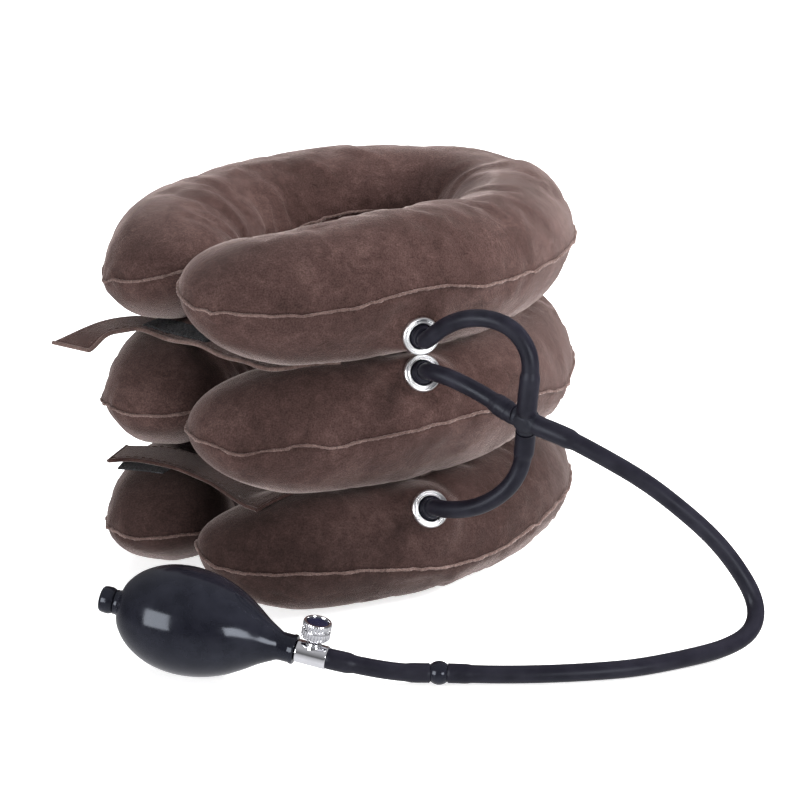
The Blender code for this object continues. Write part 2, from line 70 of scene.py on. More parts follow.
# Plan and section of the rings, as in the CAD part.
PLAN_CENTRE = np.array([0.0, 0.013])
PLAN_LONG = 0.109
PLAN_SHORT = 0.07
PLAN_TURN = math.radians(55)
LOBE_END = 142.0
HALF_WIDTH = 0.0335
RINGS = {
    "bottom": {"seam": 0.026, "rise": 0.0312, "drop": 0.0262, "end": -156.5, "body": "root"},
    "middle": {"seam": 0.0893, "rise": 0.0312, "drop": 0.0312, "end": -159.5,
               "body": "middle_ring"},
    "top": {"seam": 0.1527, "rise": 0.0325, "drop": 0.0312, "end": -162.0, "body": "top_ring"},
}
# Where each seam climbs or dips: (place in plan, spread, height), in millimetres.
SEAM_WANDER = {
    "bottom": [((66, -66), 52, -8.8), ((-75, -90), 22, 5), ((-60, -55), 30, 3)],
    "middle": [((58, -78), 28, 2.8), ((112, 12), 26, -6.2), ((-45, -118), 16, -4),
               ((0, -112), 10, -2.2), ((-55, -60), 26, 3)],
    "top": [((42, -90), 36, 6.6), ((-50, -2), 34, 8.5), ((4, 66), 40, 7),
            ((-60, -62), 36, 10.5), ((-122, -35), 16, -3), ((116, 60), 40, 1.8)],
}
# Where the top ring's upper surface stands out above its plain section, in the same way.
CROWN = [((32, -58), 44, 5)]
PORTS = {
    "bottom": {"at": (0.0445, -0.082, 0.0479), "tilt": 20},
    "middle": {"at": (0.0407, -0.08, 0.1153), "tilt": 20},
    "top": {"at": (0.04, -0.09, 0.1361), "tilt": 0},
}
PORT_TURN = math.radians(20)
EYELET_RADIUS = 0.009
EYELET_BORE = 0.0062
PORT_REACH = 0.005

TUBE_RADIUS = 0.0042
SLEEVE_RADIUS = 0.0049
CROSS_AT = Vector((0.0895, -0.118, 0.1025))
CROSS_UP = Vector((0.02, -0.42, 0.907)).normalized()
CROSS_OUT = Vector((0.8, -0.51, -0.2538)).normalized()
SLEEVE_STOP = 0.0063
SLEEVE_SLOPE = 0.004
RIDGE_HEIGHT = 0.00035
RIDGE_SPREAD = 0.0007
JOINT_GAP = 0.0003
END_STRAIGHT = 0.003

BULB_TAIL = Vector((-0.106, -0.178, 0.0334))
BULB_AXIS = Vector((0.957, -0.214, -0.195)).normalized()
VALVE_AT = 0.0999
VALVE_ROLL = math.radians(5)
HOSE_START = 0.1076
COUPLING_AT = Vector((0.0479, -0.2016, 0.0056))
COUPLING_BALL = 0.0056
COUPLING_SLEEVE = 0.016
COUPLING_SWELL = 0.0004
COUPLING_NECK = 0.0042
COUPLING_NECK_RADIUS = 0.0034

# The tubes' routes, as in the CAD part.
TOP_ROUTE = mm([
    (50, -103, 143.5), (58, -110, 149), (66.5, -115, 151.5), (75.5, -119, 151), (83.5, -121.5, 147),
    (89, -123, 139.5), (91.2, -123.5, 130.5)
])
MIDDLE_ROUTE = mm([
    (47, -92.5, 118.5), (54, -97.5, 117.5), (61.5, -101.5, 114.8), (70, -106, 111.2)
])
BOTTOM_ROUTE = mm([
    (52, -93.5, 51), (59, -98.5, 52.5), (66.5, -103, 55.2), (74, -106.5, 59.7), (81, -109, 66),
    (86, -110.5, 74), (88.2, -111.5, 81.5)
])
HOSE_ROUTE = mm([
    (107.5, -128, 97.2), (124, -133, 89.5), (147, -137.5, 76.5), (171, -139, 57), (183, -138.5, 44),
    (191, -138, 32.5), (196.5, -139, 23), (198.5, -142.5, 16), (197, -148.5, 11),
    (191.5, -157, 7.5), (182, -165, 5.5), (169.5, -173.5, 4.6), (141, -190.3, 4.5),
    (118, -196.8, 4.5), (94.3, -200.2, 4.5), (70, -201.6, 4.8)
])
BULB_HOSE_ROUTE = mm([(33, -201.2, 5.4), (17, -201.2, 7.8)])


# ---- camera, floor and light

CAMERA_TARGET = Vector((0.03, 0.0, 0.0796))
CAMERA_RANGE = 2.2
CAMERA_ELEVATION = math.radians(15.5)
CAMERA_LENS = 198.6
CAMERA_SENSOR = 36.0


def make_camera():
    data = bpy.data.cameras.new("camera")
    data.lens = CAMERA_LENS
    data.sensor_width = CAMERA_SENSOR
    data.clip_start = 0.1
    data.clip_end = 20
    camera = bpy.data.objects.new("camera", data)
    back = Vector((0, -math.cos(CAMERA_ELEVATION), math.sin(CAMERA_ELEVATION)))
    camera.location = CAMERA_TARGET + SHIFT + back * CAMERA_RANGE
    camera.rotation_euler = (-back).to_track_quat("-Z", "Y").to_euler()
    bpy.context.scene.collection.objects.link(camera)
    bpy.context.scene.camera = camera


def make_area_light(name, place, aim, size, power, mirrored=True):
    data = bpy.data.lights.new(name, "AREA")
    data.shape = "RECTANGLE"
    data.size, data.size_y = size
    data.energy = power
    lamp = bpy.data.objects.new(name, data)
    lamp.visible_glossy = mirrored
    lamp.location = Vector(place)
    lamp.rotation_euler = (Vector(aim) - Vector(place)).to_track_quat("-Z", "Y").to_euler()
    bpy.context.scene.collection.objects.link(lamp)


def make_world():
    """A studio whose walls are darker towards the horizon than its ceiling."""
    made = Nodes("studio", "worlds", "Background", Strength=1.0)
    bpy.context.scene.world = made.owner
    place = made.add("ShaderNodeTexCoord").outputs["Generated"]
    split = made.add("ShaderNodeSeparateXYZ", {0: place})
    level = made.spread(split.outputs["Z"], -1.0, 1.0)
    shades = [(0.1, 0.85), (0.37, 0.46), (0.46, 0.15), (0.53, 0.14), (0.9, 0.46)]
    stops = [(height, (shade, shade, shade * 1.03)) for height, shade in shades]
    made.link(made.ramp(level, stops), "Color")


def make_floor():
    bpy.ops.mesh.primitive_plane_add(size=14)
    floor = bpy.context.object
    floor.name = "floor"
    floor.visible_glossy = False
    paper = Nodes("paper", Base_Color=(0.8, 0.8, 0.8), Roughness=0.95, Specular_IOR_Level=0.1,
                  Emission_Color=(1.0, 1.0, 1.0), Emission_Strength=0.72)
    floor.data.materials.append(paper.owner)


def make_studio():
    scene = bpy.context.scene
    scene.view_settings.view_transform = "Standard"
    scene.view_settings.look = "None"
    make_world()
    make_floor()
    make_area_light("left", (-1.08, -1.12, 0.28), (0, 0, 0.06), (0.86, 0.8), 21)
    make_area_light("right", (0.8, -1.18, 0.18), (0, 0, 0.06), (0.52, 0.4), 8)
    make_area_light("rim", (1.26, 0.08, 0.72), (0, 0, 0.1), (0.45, 0.6), 36, False)
    make_area_light("top", (0.05, 0.5, 1.5), (0, 0.05, 0.05), (1.7, 1.3), 28, False)


# ---- material nodes


class Nodes:
    """A short way to write the node tree of a material or of a world."""

    def __init__(self, name, kind="materials", shader="Principled BSDF", **values):
        self.owner = getattr(bpy.data, kind).new(name)
        self.owner.use_nodes = True
        self.tree = self.owner.node_tree
        self.shader = self.tree.nodes[shader]
        for key, value in values.items():
            self.fill(self.shader.inputs[key.replace("_", " ")], value)

    def fill(self, socket, value):
        """Links a socket to another node's output, or sets its value."""
        if isinstance(value, bpy.types.NodeSocket):
            self.tree.links.new(value, socket)
        else:
            socket.default_value = (*value, 1.0) if isinstance(value, tuple) else value

    def add(self, kind, inputs=(), **settings):
        node = self.tree.nodes.new(kind)
        for key, value in settings.items():
            setattr(node, key, value)
        for key, value in dict(inputs).items():
            self.fill(node.inputs[key], value)
        return node

    def place(self):
        return self.add("ShaderNodeTexCoord").outputs["Object"]

    def noise(self, scale, detail, rough, distortion=0.0):
        node = self.add("ShaderNodeTexNoise", {
            "Vector": self.place(), "Scale": scale, "Detail": detail, "Roughness": rough,
            "Distortion": distortion,
        })
        return node.outputs["Fac"]

    def ramp(self, factor, stops):
        node = self.add("ShaderNodeValToRGB", {"Fac": factor})
        while len(node.color_ramp.elements) < len(stops):
            node.color_ramp.elements.new(0.5)
        for element, (position, color) in zip(node.color_ramp.elements, stops):
            element.position = position
            element.color = (*color, 1.0)
        return node.outputs["Color"]

    def spread(self, factor, low, high, out_low=0.0, out_high=1.0):
        node = self.add("ShaderNodeMapRange", {
            "Value": factor, "From Min": low, "From Max": high,
            "To Min": out_low, "To Max": out_high,
        })
        return node.outputs["Result"]

    def tinted(self, factor, first, second):
        """A colour multiplied by another."""
        node = self.add("ShaderNodeMix", {0: factor}, data_type="RGBA", blend_type="MULTIPLY")
        self.fill(node.inputs[6], first)
        self.fill(node.inputs[7], second)
        return node.outputs[2]

    def math(self, operation, first, second):
        node = self.add("ShaderNodeMath", {0: first, 1: second}, operation=operation)
        return node.outputs["Value"]

    def bump(self, height, strength, distance, normal=None):
        inputs = {"Height": height, "Strength": strength, "Distance": distance}
        if normal:
            inputs["Normal"] = normal
        return self.add("ShaderNodeBump", inputs).outputs["Normal"]

    def link(self, socket, name):
        self.tree.links.new(socket, self.shader.inputs[name])


def velvet(name, dark, middle, light):
    made = Nodes(name, Roughness=0.92, Sheen_Weight=0.44, Sheen_Roughness=0.3,
                 Sheen_Tint=(0.96, 0.8, 0.76), Specular_IOR_Level=0.12)
    patches = made.noise(24, 5, 0.62, 0.6)
    strokes = made.noise(130, 5, 0.7, 1.0)
    pile = made.noise(1250, 4, 0.8)
    blend = made.math("ADD", made.math("MULTIPLY", patches, 0.5),
                      made.math("MULTIPLY", strokes, 0.5))
    nap = made.ramp(blend, [(0.37, dark), (0.5, middle), (0.63, light)])
    grain = made.ramp(pile, [(0.36, (0.5, 0.5, 0.5)), (0.64, (1.52, 1.5, 1.48))])
    made.link(made.tinted(0.85, nap, grain), "Base Color")
    fibre = made.bump(pile, 0.45, 0.0005)
    made.link(made.bump(strokes, 0.22, 0.0012, fibre), "Normal")
    made.link(made.spread(strokes, 0.3, 0.7, 0.84, 0.98), "Roughness")
    return made.owner


def mottled(made, factor, stops, low, high, rough_low, rough_high):
    """Colour and roughness that follow one noise."""
    made.link(made.ramp(factor, stops), "Base Color")
    made.link(made.spread(factor, low, high, rough_low, rough_high), "Roughness")
    return made.owner


def rubber(name, color, rough_low, rough_high, bump, shine=0.5):
    made = Nodes(name, Specular_IOR_Level=shine, Specular_Tint=(0.82, 0.88, 1.0))
    haze = made.noise(85, 4, 0.6)
    made.link(made.bump(made.noise(1500, 3, 0.6), bump, 0.0002), "Normal")
    lighter = tuple(channel * 1.7 + 0.003 for channel in color)
    return mottled(made, haze, [(0.35, color), (0.75, lighter)], 0.3, 0.75, rough_low, rough_high)


def metal(name, color, rough_low, rough_high):
    made = Nodes(name, Metallic=1.0)
    dull = tuple(channel * 0.92 for channel in color)
    return mottled(made, made.noise(160, 4, 0.6), [(0.35, dull), (0.65, color)], 0.35, 0.75,
                   rough_low, rough_high)


def hook_fabric():
    made = Nodes("hook_fabric", Roughness=0.8, Sheen_Weight=0.06)
    cells = made.add("ShaderNodeTexVoronoi", {"Vector": made.place(), "Scale": 900.0})
    tone = made.ramp(cells.outputs["Distance"], [
        (0.1, (0.055, 0.057, 0.066)), (0.45, (0.007, 0.007, 0.009))])
    made.link(tone, "Base Color")
    made.link(made.bump(cells.outputs["Distance"], 0.9, 0.0008), "Normal")
    return made.owner


def woven_cloth():
    made = Nodes("woven_cloth", Roughness=0.9, Sheen_Weight=0.2)
    place = made.place()
    waves = [made.add("ShaderNodeTexWave", {"Vector": place, "Scale": 420.0, "Distortion": 0.6},
                      bands_direction=axis).outputs["Fac"] for axis in ("X", "Y")]
    weave = made.math("MULTIPLY", *waves)
    made.link(made.ramp(weave, [(0.1, (0.05, 0.032, 0.027)), (0.7, (0.105, 0.07, 0.06))]),
              "Base Color")
    made.link(made.bump(weave, 0.5, 0.0004), "Normal")
    return made.owner


# ---- mesh helpers


def add_object(name, vertices, faces, look, body, smooth_angle=None):
    """A piece from points about the collar's centre; it rides on `body`."""
    data = bpy.data.meshes.new(name)
    data.from_pydata([tuple(Vector(point) + SHIFT) for point in vertices], [], faces)
    data.validate()
    data.materials.append(look)
    data.shade_smooth()
    if smooth_angle:
        data.set_sharp_from_angle(angle=math.radians(smooth_angle))
    made = bpy.data.objects.new(name, data)
    bpy.context.scene.collection.objects.link(made)
    outward(made)
    if body:
        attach(made, body)
    return made


def outward(made, merge=False):
    """Turns a piece's faces outwards, having merged the points that share a place."""
    mesh = bmesh.new()
    mesh.from_mesh(made.data)
    if merge:
        bmesh.ops.remove_doubles(mesh, verts=mesh.verts, dist=1e-6)
    bmesh.ops.recalc_face_normals(mesh, faces=mesh.faces)
    mesh.to_mesh(made.data)
    mesh.free()


def grid_faces(rows, columns, wrap=True, closed=False):
    """Quads of a grid of points, row by row.

    `wrap` joins each row's end to its start, and `closed` the last row to the first.
    """
    faces = []
    for row in range(rows if closed else rows - 1):
        low, high = row * columns, (row + 1) % rows * columns
        for column in range(columns if wrap else columns - 1):
            after = (column + 1) % columns
            faces.append((low + column, low + after, high + after, high + column))
    return faces


def tube_faces(rows, sides):
    """The faces of a closed tube: its wall and two flat ends."""
    last = (rows - 1) * sides
    return [*grid_faces(rows, sides), tuple(range(sides)), tuple(range(last, last + sides))]


def rounded(profile, radius, ring):
    """A profile with its corners rounded off by up to `radius`."""
    count = len(profile)
    found = []
    for index, corner in enumerate(profile):
        if not ring and index in (0, count - 1):
            found.append(corner)
            continue
        here = Vector(corner)
        before, after = Vector(profile[index - 1]), Vector(profile[(index + 1) % count])
        cut_in = min(radius, (before - here).length * 0.45)
        cut_out = min(radius, (after - here).length * 0.45)
        start = here + (before - here).normalized() * cut_in
        end = here + (after - here).normalized() * cut_out
        for share in (0, 0.25, 0.5, 0.75, 1):
            point = start * (1 - share) ** 2 + here * 2 * share * (1 - share)
            found.append(tuple(point + end * share**2))
    return found


def turned(name, node, profile, place, look, body, soft=0.0, steps=72, ring=True,
           shape=None, sharp=50):
    """A profile of (radius, height) turned round the Z of `place`, for a node of the CAD.

    Its corners are rounded by up to `soft`. A profile that is no ring ends on the axis.
    """
    profile = rounded(profile, soft, ring) if soft else profile
    vertices = []
    for step in range(steps):
        turn = math.tau * step / steps
        for radius, height in profile:
            width = shape(radius, height, turn) if shape else radius
            spot = Vector((width * math.cos(turn), width * math.sin(turn), height))
            vertices.append(place @ spot)
    faces = grid_faces(steps, len(profile), wrap=ring, closed=True)
    made = add_object(name, vertices, faces, look, body, sharp)
    if not ring:
        outward(made, merge=True)
    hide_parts(node)
    return made


def frame_on(origin, axis, towards=Vector((0, 0, 1))):
    side = (towards - towards.dot(axis) * axis).normalized()
    rows = Matrix((side, axis.cross(side), axis)).transposed().to_4x4()
    return Matrix.Translation(origin) @ rows


# ---- tubes


def unit(vectors):
    return vectors / np.linalg.norm(vectors, axis=-1, keepdims=True)


def distances(points):
    """How far along a line each of its points is."""
    steps = np.linalg.norm(np.diff(points, axis=0), axis=1)
    return np.concatenate([[0], np.cumsum(steps)])


def along_line(wanted, marks, points):
    """Points of a line at the wanted marks, `marks` being those of its own points."""
    return np.stack([np.interp(wanted, marks, points[:, axis]) for axis in range(3)], axis=1)


def eased(value):
    """A smooth step from 0 to 1."""
    share = np.clip(value, 0, 1)
    return share * share * (3 - 2 * share)


def smooth_route(route, spacing):
    """Points at even distances along a smooth curve through a route."""
    points = [Vector(point) for point in route]
    before = [2 * points[0] - points[1], *points]
    after = [*points, 2 * points[-1] - points[-2]]
    fine = []
    for index in range(len(points) - 1):
        p0, p1, p2, p3 = before[index], points[index], points[index + 1], after[index + 2]
        for step in range(24):
            t = step / 24
            fine.append(0.5 * (2 * p1 + (p2 - p0) * t + (2 * p0 - 5 * p1 + 4 * p2 - p3) * t**2
                               + (3 * p1 - p0 - 3 * p2 + p3) * t**3))
    fine.append(points[-1])
    fine = np.array(fine)
    lengths = distances(fine)
    wanted = np.linspace(0, lengths[-1], max(3, round(lengths[-1] / spacing)) + 1)
    return along_line(wanted, lengths, fine)


def relaxed(points, rounds=30):
    """Evens out the bends of a line, its two end stretches staying where they are."""
    points = points.copy()
    for _ in range(rounds):
        points[3:-3] += 0.5 * ((points[2:-4] + points[4:-2]) / 2 - points[3:-3])
    return points


def hoop(centre, side, other, radius, count):
    """Points round a centre, in the plane of two unit vectors."""
    turns = [math.tau * step / count for step in range(count)]
    return [centre + radius * (math.cos(turn) * side + math.sin(turn) * other) for turn in turns]


def tube_mesh(name, points, radii, look, sides=28):
    """A closed tube round a line of points, with flat ends."""
    tangents = unit(np.gradient(points, axis=0))
    side = np.cross(tangents[0], (0.3, 0.2, 1.0))
    vertices = []
    for point, tangent, radius in zip(points, tangents, radii):
        side = unit(side - side.dot(tangent) * tangent)
        vertices += hoop(point, side, np.cross(tangent, side), radius, sides)
    return add_object(name, vertices, tube_faces(len(points), sides), look, None, 60)


def sleeve_radii(points, start_sleeve, end_sleeve, ridges=()):
    """The tube's radius along a line, a little larger where it is pushed over a fitting.

    `ridges` are distances from the far end, where a moulded ring stands out.
    """
    run = distances(points)
    radii = np.full(len(points), TUBE_RADIUS)
    for distance, length in ((run, start_sleeve), (run[-1] - run, end_sleeve)):
        if length:
            share = eased((length - distance) / SLEEVE_SLOPE + 0.5)
            radii += (SLEEVE_RADIUS - TUBE_RADIUS) * share
    for ridge in ridges:
        radii += RIDGE_HEIGHT * np.exp(-(((run[-1] - run - ridge) / RIDGE_SPREAD) ** 2))
    return radii


def straight(spot, way):
    """The first two points of a tube that leaves a fitting."""
    return [spot, spot + way * END_STRAIGHT]


def arm_end(way):
    return straight(CROSS_AT + way * SLEEVE_STOP, way)


def port_axis(port):
    tilt = math.radians(port["tilt"])
    flat = Vector((math.sin(PORT_TURN), -math.cos(PORT_TURN), 0)) * math.cos(tilt)
    return flat + Vector((0, 0, math.sin(tilt)))


def port_exit(key):
    axis = port_axis(PORTS[key])
    return straight(Vector(PORTS[key]["at"]) + axis * (PORT_REACH + JOINT_GAP), axis)


def lay_cord(made):
    """Bakes a tube's placement into its points."""
    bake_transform(made)


def make_branch(key, route, way, look, sleeve, ridges=()):
    points = relaxed(smooth_route(port_exit(key) + route + arm_end(way)[::-1], 0.0008))
    made = tube_mesh(f"tube_{key}", points, sleeve_radii(points, 0, sleeve, ridges), look)
    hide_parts(f"branch_tube_{key}")
    lay_cord(made)


def make_hose(look):
    valve = BULB_TAIL + BULB_AXIS * HOSE_START
    route = arm_end(CROSS_OUT) + HOSE_ROUTE + [COUPLING_AT] + BULB_HOSE_ROUTE
    route += straight(valve, BULB_AXIS)[::-1]
    points = relaxed(smooth_route(route, 0.0011), 60)
    radii = sleeve_radii(points, 0.019, 0.011)
    past = np.linalg.norm(points - np.array(COUPLING_AT), axis=1)
    radii += COUPLING_SWELL * eased((COUPLING_SLEEVE - past) / SLEEVE_SLOPE)
    radii[past < COUPLING_NECK] = COUPLING_NECK_RADIUS
    made = tube_mesh("hose", points, radii, look)
    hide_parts("main_hose", "bulb_hose")
    lay_cord(made)


def make_cross(look):
    """The moulded four-way fitting, of which only the hub shows between the tubes' ends."""
    arm = mm([
        (0, -7.2), (4.1, -7.2), (4.3, -6.4), (4.8, -6), (4.9, -3), (4.9, 3), (4.8, 6), (4.3, 6.4),
        (4.1, 7.2), (0, 7.2)
    ])
    boss = mm([(0, -5.3), (3.8, -5.3), (5.7, -3.6), (5.9, 0), (5.7, 3.6), (3.8, 5.3), (0, 5.3)])
    up = Vector((0, 0, 1))
    face = CROSS_UP.cross(CROSS_OUT).normalized()
    shapes = [("cross_upright", arm, 0.0006, CROSS_UP, Vector((1, 0, 0))),
              ("cross_level", arm, 0.0006, CROSS_OUT, up), ("cross_hub", boss, 0.0016, face, up)]
    return [turned(name, "cross_fitting", profile, frame_on(CROSS_AT, axis, towards), look,
                   "tube_cross", soft, steps=48, ring=False)
            for name, profile, soft, axis, towards in shapes]


def make_coupling(look):
    """The ball-shaped connector that the two lengths of hose are pushed onto."""
    profile = []
    for step in range(19):
        turn = math.pi * (0.19 + 0.62 * step / 18)
        profile.append((COUPLING_BALL * math.sin(turn), -COUPLING_BALL * math.cos(turn)))
    profile += [(0.0028, 0.0047), (0.0028, -0.0047)]
    return turned("hose_coupling", "inline_coupling", profile,
                  frame_on(COUPLING_AT, Vector((1, 0, 0))), look, "root", steps=56)


# ---- ports and eyelets


def make_port(key, chrome, black):
    port = PORTS[key]
    place = frame_on(Vector(port["at"]), port_axis(port))
    bore, edge = EYELET_BORE, EYELET_RADIUS
    rolled = [
        (bore, -0.0016), (edge, -0.0014), (edge + 0.0004, -0.0004), (edge + 0.0003, 0.0007),
        (edge - 0.0002, 0.0014), (edge - 0.0008, 0.0015), (edge - 0.0011, 0.0009),
        (edge - 0.0015, 0.0008), (bore + 0.001, 0.0013), (bore + 0.0005, 0.0016),
        (bore, 0.0014),
    ]
    turned(f"rolled_eyelet_{key}", f"eyelet_{key}", rolled, place, chrome, f"{key}_port",
           0.0004)
    nipple = [
        (0.0024, -0.0085), (0.0046, -0.0085), (0.0046, -0.0035), (0.0058, -0.003),
        (0.006, 0.0003), (0.0056, 0.0007), (0.0056, 0.0013), (0.0052, 0.0017), (0.0052, 0.0027),
        (0.0049, 0.0031), (0.005, 0.0036), (0.005, PORT_REACH), (0.0024, PORT_REACH),
    ]
    turned(f"air_port_{key}", f"port_{key}", nipple, place, black, f"{key}_port",
           0.0004)


# ---- plan of the collar


def plan_points(degrees):
    """Points of the ring's centreline and unit vectors outwards, for angles in degrees."""
    turn = np.radians(np.atleast_1d(degrees))[:, None]
    long_way = np.array([math.cos(PLAN_TURN), math.sin(PLAN_TURN)])
    short_way = np.array([-long_way[1], long_way[0]])
    at = PLAN_CENTRE + PLAN_LONG * np.cos(turn) * long_way + PLAN_SHORT * np.sin(turn) * short_way
    out = np.cos(turn) / PLAN_LONG * long_way + np.sin(turn) / PLAN_SHORT * short_way
    return at, unit(out)


# ---- air rings

RING_POINTS = {}
BODY_ROWS = 150
CAP_ROWS = 16
AROUND = 72
UPPER_FULLNESS = 1.72
LOWER_FULLNESS = 1.5
SHOULDER = 2.2
TIP_POWER = 1.6
PUCKER_DEPTH = 0.0007
TIP_PUCKER_DEPTH = 0.0043
PUCKER_REACH = 0.055
INNER_PUCKERS = 1.6
BROAD_DEPTH = 0.0012
TIP_UPPER = 0.06
TIP_LOWER = 0.052
LOBE_LOWER = 0.088
FLOOR_GAP = 0.0004
RING_GAP = 0.0008
BLADDER_TRIM = 12
BLADDER_SIZE = 0.8
PULL_RADIUS = 0.026
PULL_FLAT = 0.01


def climb(bumps, spots):
    """How far a surface climbs above its plain height, at points of the plan."""
    found = np.zeros(len(spots))
    for centre, spread, height in mm(bumps):
        away = np.linalg.norm(spots - np.array(centre), axis=1)
        found += height * np.exp(-((away / spread) ** 2))
    return found


def ring_rows(key):
    """Each section's plan angle, centre, outward vector, width share and distance to a tip."""
    degrees = np.linspace(LOBE_END, RINGS[key]["end"], BODY_ROWS)
    centres, outs = plan_points(degrees)
    run = distances(centres)
    far = HALF_WIDTH + np.minimum(run, run[-1] - run)
    rows = [(angle, centre, out, 1.0, away)
            for angle, centre, out, away in zip(degrees, centres, outs, far)]
    caps = []
    for index, inward in ((0, -1), (-1, 1)):
        centre, out = centres[index], outs[index]
        along = inward * np.array([out[1], -out[0]])
        cap = []
        for step in range(1, CAP_ROWS + 1):
            turn = math.radians(88.5 * step / CAP_ROWS)
            spot = centre + along * HALF_WIDTH * math.sin(turn)
            cap.append((degrees[index], spot, out, math.cos(turn),
                        HALF_WIDTH * (1 - math.sin(turn))))
        caps.append(cap)
    return caps[0][::-1] + rows + caps[1]


def taper(away, length):
    """Share of the full height at a distance from a ring's tip."""
    share = min(away / length, 1.0)
    return math.sqrt(1 - (1 - share) ** TIP_POWER)


def section(degrees, width_share, away):
    """Shares of width and height round one section, pointed at the two seams."""
    turn = np.linspace(0, math.tau, AROUND, endpoint=False)
    across = np.cos(turn)
    full = np.where(np.sin(turn) >= 0, UPPER_FULLNESS, LOWER_FULLNESS)
    up = np.clip(1 - np.abs(across) ** SHOULDER, 0, 1) ** (1 / full)
    lower = LOBE_LOWER if degrees > 0 else TIP_LOWER
    high = np.where(np.sin(turn) >= 0, taper(away, TIP_UPPER), taper(away, lower))
    slim = 1 - 0.075 * min(max((degrees - 95) / 40, 0), 1)
    width = np.where(across > 0, across * slim, across) * width_share
    return width, np.sign(np.sin(turn)) * up * high, np.sin(turn)


def gathers(key, run, lift, across, away):
    """Depth of the small puckers that run out from the seams."""
    seed = {"bottom": 3.1, "middle": 7.7, "top": 12.9}[key]
    found = np.zeros(AROUND)
    near_tip = max(0.0, 1 - away / PUCKER_REACH)
    for index in range(AROUND):
        side = seed if across[index] > 0 else seed + 31
        side += 5.3 if lift[index] < 0 else 0
        reach = 1 - abs(lift[index])
        depth = PUCKER_DEPTH + TIP_PUCKER_DEPTH * near_tip
        depth *= INNER_PUCKERS if across[index] < 0 else 1.0
        wave = noise.noise(Vector((run * 95, side, reach * 1.2)))
        wave += 0.6 * noise.noise(Vector((run * 210, side + 9, reach * 2.0)))
        broad = noise.noise(Vector((run * 22, side + 17, lift[index] * 1.3)))
        found[index] = depth * wave * reach**2 + BROAD_DEPTH * broad
    return found


def pull_to_port(points, port):
    """Draws fabric near a port into the plane just behind its eyelet."""
    axis = np.array(port_axis(port))
    reach = points - np.array(port["at"])
    away = np.linalg.norm(reach, axis=-1)
    height = reach @ axis + 0.0008
    share = eased((PULL_RADIUS - away) / (PULL_RADIUS - PULL_FLAT))
    return points - (height * share)[..., None] * axis


def ring_points(key):
    ring = RINGS[key]
    rows = ring_rows(key)
    points = np.zeros((len(rows), AROUND, 3))
    run = 0.0
    before = rows[0][1]
    for index, (degrees, centre, out, width, away) in enumerate(rows):
        run += float(np.linalg.norm(centre - before))
        before = centre
        across, up, lift = section(degrees, width, away)
        pucker = 1 + gathers(key, run, lift, across, away) / HALF_WIDTH
        spot = centre[None, :] + (HALF_WIDTH * across * pucker)[:, None] * out[None, :]
        shift = climb(SEAM_WANDER[key], spot)
        crown = climb(CROWN if key == "top" else [], spot)
        height = np.where(up >= 0, (ring["rise"] - shift + crown) * up,
                          (ring["drop"] + shift) * up)
        points[index, :, :2] = spot
        points[index, :, 2] = ring["seam"] + shift + height * pucker
    return pull_to_port(points, PORTS[key])


def flatten_underside(points, key):
    """The lowest ring stands flat on the surface, and each ring presses on the next."""
    ring = RINGS[key]
    low = FLOOR_GAP if key == "bottom" else ring["seam"] - ring["drop"] + RING_GAP
    points[..., 2] = np.maximum(points[..., 2], low)
    return points


def make_ring(key, look, seam_sheen_look, bladder_look):
    ring = RINGS[key]
    points = flatten_underside(ring_points(key), key)
    RING_POINTS[key] = points
    rows = len(points)
    tips = [points[0].mean(axis=0), points[-1].mean(axis=0)]
    vertices = [*points.reshape(-1, 3), *tips]
    faces = grid_faces(rows, AROUND)
    for row, tip in ((0, rows * AROUND), (rows - 1, rows * AROUND + 1)):
        for column in range(AROUND):
            after = (column + 1) % AROUND
            faces.append((row * AROUND + column, row * AROUND + after, tip))
    cover = add_object(f"velvet_cover_{key}", vertices, faces, look, None)
    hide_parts(f"cover_{key}")
    settle(cover, key)
    # The seam's lighter velvet is painted sheen.
    seam = make_seam(key, cover, rows, seam_sheen_look)
    inner = make_bladder(key, points, bladder_look)
    open_port(cover, key)
    finish_ring([cover, seam, inner], ring)


def finish_ring(pieces, ring):
    """Rides each piece on the ring's body and gives it a mesh of its own."""
    for piece in pieces:
        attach(piece, ring["body"])
        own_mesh(piece)


SETTLE_FRAMES = 14
SETTLE_CAP = 0.0009
WRINKLE_GAIN = 0.62
CALM_ROWS = (2, 22)
PORT_CALM = (0.014, 0.012)
CLOTH = {
    "quality": 6, "mass": 0.25, "tension_stiffness": 18, "compression_stiffness": 9,
    "shear_stiffness": 4, "bending_stiffness": 0.02, "use_pressure": True,
    "uniform_pressure_force": 9, "shrink_min": 0.0, "shrink_max": 0.12,
    "vertex_group_shrink": "seams",
}


def wrinkles(step):
    """The fine part of a movement of the cover's points, without its slow swelling."""
    rows = BODY_ROWS + 2 * CAP_ROWS
    field = step[:rows * AROUND].reshape(rows, AROUND, 3)
    slow = field.copy()
    for _ in range(2):
        padded = np.concatenate([slow[:1].repeat(5, 0), slow, slow[-1:].repeat(5, 0)])
        slow = sum(padded[shift:shift + rows] for shift in range(11)) / 11
        slow = sum(np.roll(slow, shift, axis=1) for shift in range(-3, 4)) / 7
    found = np.zeros_like(step)
    from_tip = np.minimum(np.arange(rows), np.arange(rows)[::-1])
    calm = np.clip((from_tip - CALM_ROWS[0]) / CALM_ROWS[1], 0.0, 1.0)[:, None, None]
    found[:rows * AROUND] = ((field - slow) * WRINKLE_GAIN * calm).reshape(-1, 3)
    return found


